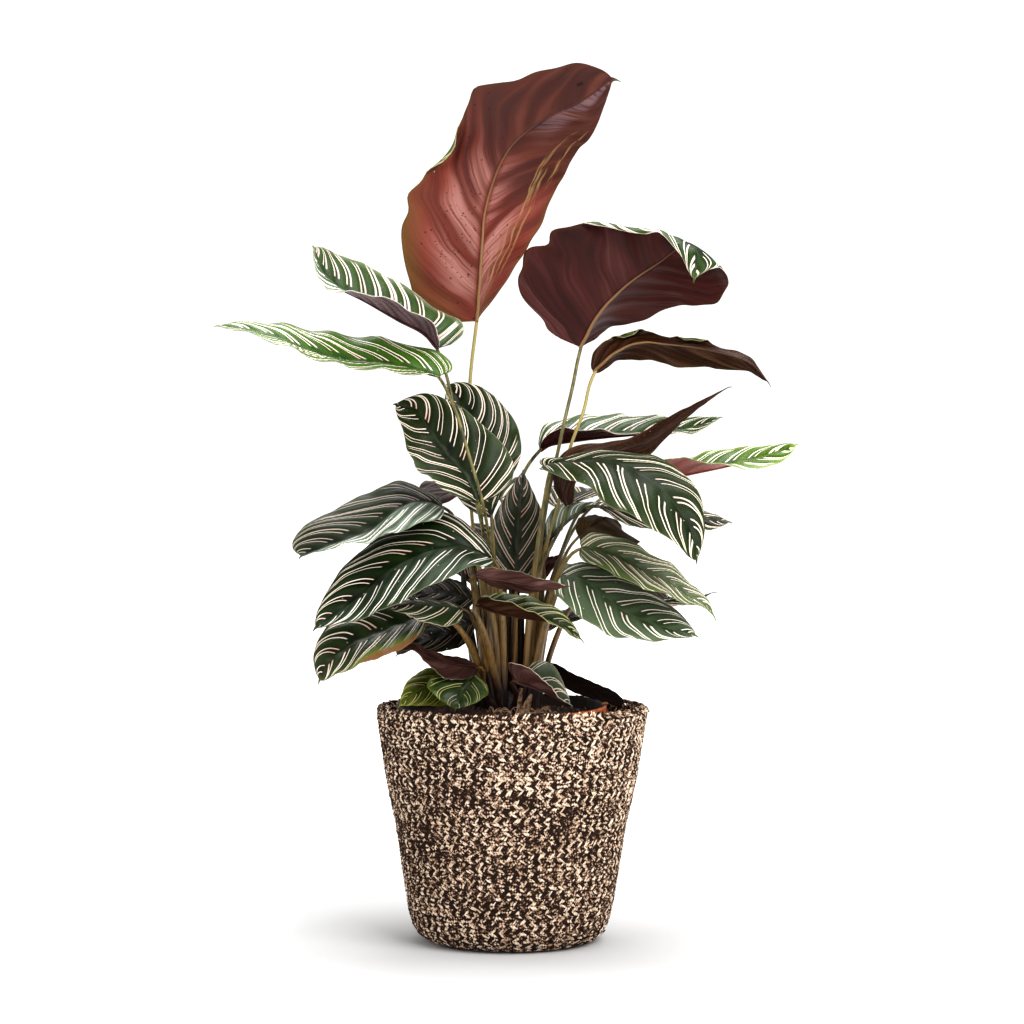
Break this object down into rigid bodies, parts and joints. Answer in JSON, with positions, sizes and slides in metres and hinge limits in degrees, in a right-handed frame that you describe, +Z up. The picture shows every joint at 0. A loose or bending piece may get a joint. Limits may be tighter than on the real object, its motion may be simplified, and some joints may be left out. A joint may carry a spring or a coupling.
{
  "type": "potted plant",
  "caption": "Striped prayer plant with broad pointed leaves on thin stalks, in a plastic nursery pot that stands in a tapered woven basket.",
  "frame": {"origin": "middle of the basket's flat bottom, on the surface that it stands on", "axes": "+Z up along the plant's height; -Y towards the side that the main leaves face; +X to the right seen from there"},
  "size_m": [0.4173, 0.2674, 0.6388],
  "materials": {
    "woven_fibre": "braided straw and black plant fibre, dry and matt",
    "liner_film": "thin black film, slightly glossy",
    "pot_plastic": "moulded terracotta-orange plastic, satin",
    "compost": "damp dark compost with dry roots and bark",
    "stalk_skin": "smooth olive stalks, dark red-brown at the base",
    "leaf_skin": "dark green upper side with paired pale lines, burgundy underside, semi-gloss"
  },
  "bodies": {
    "root": {"basket": "woven_fibre", "basket_liner": "liner_film", "nursery_pot": "pot_plastic", "soil": "compost", "stem_clump": "stalk_skin", "leaf_tall_red": "leaf_skin", "leaf_high_right": "leaf_skin", "leaf_narrow_right": "leaf_skin", "leaf_upper_left": "leaf_skin", "leaf_long_left": "leaf_skin", "leaf_front_centre": "leaf_skin", "leaf_behind_centre": "leaf_skin", "leaf_pale_left": "leaf_skin", "leaf_big_left": "leaf_skin", "leaf_dry_edged": "leaf_skin", "leaf_small_pale_edge": "leaf_skin", "leaf_dark_left": "leaf_skin", "leaf_curl_left": "leaf_skin", "leaf_low_left_back": "leaf_skin", "leaf_low_left_front": "leaf_skin", "leaf_upright_dark": "leaf_skin", "leaf_wide_right": "leaf_skin", "leaf_rolled": "leaf_skin", "leaf_big_right": "leaf_skin", "leaf_far_right": "leaf_skin", "leaf_behind_big_right": "leaf_skin", "leaf_brown_right": "leaf_skin", "leaf_mid_right": "leaf_skin", "leaf_low_right": "leaf_skin", "leaf_purple_band": "leaf_skin", "leaf_twisted_front": "leaf_skin", "leaf_curled_base": "leaf_skin", "leaf_dark_strap": "leaf_skin", "leaf_thin_behind": "leaf_skin", "leaf_silver_behind": "leaf_skin", "leaf_dark_left_high": "leaf_skin", "leaf_small_purple": "leaf_skin", "leaf_back_upper_left": "leaf_skin", "leaf_back_upper_right": "leaf_skin", "leaf_back_right": "leaf_skin", "leaf_back_left": "leaf_skin", "leaf_back_low_left": "leaf_skin", "leaf_back_middle": "leaf_skin", "leaf_back_lower_middle": "leaf_skin", "leaf_back_low_right": "leaf_skin"}
  },
  "joints": []
}
